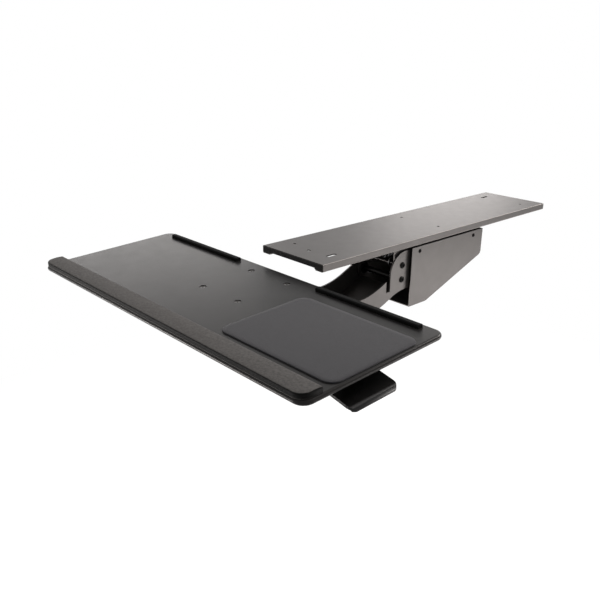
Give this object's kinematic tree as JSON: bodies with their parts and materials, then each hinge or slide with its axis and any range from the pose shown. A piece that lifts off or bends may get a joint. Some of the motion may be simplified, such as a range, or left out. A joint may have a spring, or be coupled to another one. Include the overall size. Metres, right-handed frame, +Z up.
{
  "type": "under-desk keyboard tray",
  "caption": "Sliding, swivelling and tilting keyboard tray on a dipped arm under a desk rail, with palm rest, mouse pad and side release lever.",
  "frame": {"origin": "middle of the rail's top face, the face that is screwed to the underside of the desk", "axes": "+X to the user's right, +Y away from the user along the rail, +Z up into the desk"},
  "size_m": [0.6667, 0.9441, 0.1375],
  "materials": {
    "powder_black": "satin powder coat",
    "black_rubber": "matte",
    "zinc_steel": "zinc plated, satin",
    "black_steel": "black oxide, satin",
    "spring_steel": "oiled",
    "white_nylon": "satin",
    "black_nylon": "satin",
    "black_board": "fine texture, satin",
    "grey_padding": "soft, fine grain",
    "pad_cloth": "fine woven cloth"
  },
  "bodies": {
    "track": {"track_plate": "powder_black", "guide_rail_left": "powder_black", "guide_rail_right": "powder_black", "rail_cap_front": "black_nylon", "rail_cap_rear": "black_nylon", "end_bumpers": "black_rubber"},
    "carriage": {"slide_plate": "zinc_steel", "glide_pads": "white_nylon", "swivel_bolt": "zinc_steel", "swivel_stop_pin": "zinc_steel", "thrust_washer": "white_nylon", "swivel_washer": "zinc_steel", "swivel_nut": "zinc_steel"},
    "housing": {"swivel_bracket": "powder_black", "pivot_bushings": "black_nylon", "cover_standoffs": "zinc_steel", "mechanism_cover": "powder_black", "cover_screws": "black_steel", "spring_anchor_pin": "zinc_steel", "anchor_clips": "black_steel", "lift_springs": "spring_steel"},
    "arm": {"arm_channel": "powder_black", "pivot_shaft": "black_steel", "pivot_screws": "black_steel", "spring_shaft": "black_steel", "spring_shaft_screws": "black_steel", "friction_washers": "black_nylon", "tilt_shaft": "black_steel", "tilt_screws": "black_steel", "tilt_washers": "black_nylon"},
    "tray": {"tilt_bushings": "black_nylon", "tilt_bracket": "powder_black", "tray_board": "black_board", "tray_screws": "black_steel", "tray_nuts": "zinc_steel", "palm_rest": "grey_padding", "back_stop_left": "black_rubber", "back_stop_right": "black_rubber", "mouse_pad": "pad_cloth", "rod_bearing": "black_nylon", "bearing_screws": "black_steel"},
    "lever": {"release_rod": "black_steel", "brake_fingers": "black_steel", "lever_paddle": "black_nylon", "paddle_pin": "zinc_steel", "return_spring": "spring_steel"}
  },
  "joints": [
    {"name": "carriage_slide", "type": "slide", "parent": "track", "child": "carriage", "axis": [0, 1, 0], "range_m": [-0.265, 0.225]},
    {"name": "swivel", "type": "hinge", "parent": "carriage", "child": "housing", "pos_m": [0, 0.02, -0.0157], "axis": [0, 0, 1], "range_deg": [-90, 90]},
    {"name": "lift", "type": "hinge", "parent": "housing", "child": "arm", "pos_m": [0, -0.106, -0.081], "axis": [1, 0, 0], "range_deg": [-6, 20], "deforming": ["lift_springs"]},
    {"name": "tilt", "type": "hinge", "parent": "arm", "child": "tray", "pos_m": [0, -0.42913, -0.06535], "axis": [1, 0, 0], "range_deg": [-25, 15]},
    {"name": "release_lever", "type": "hinge", "parent": "tray", "child": "lever", "pos_m": [0, -0.4555, -0.05868], "axis": [-1, 0, 0], "range_deg": [0, 6], "stiffness_Nm_per_rad": 2, "deforming": ["return_spring"]}
  ]
}
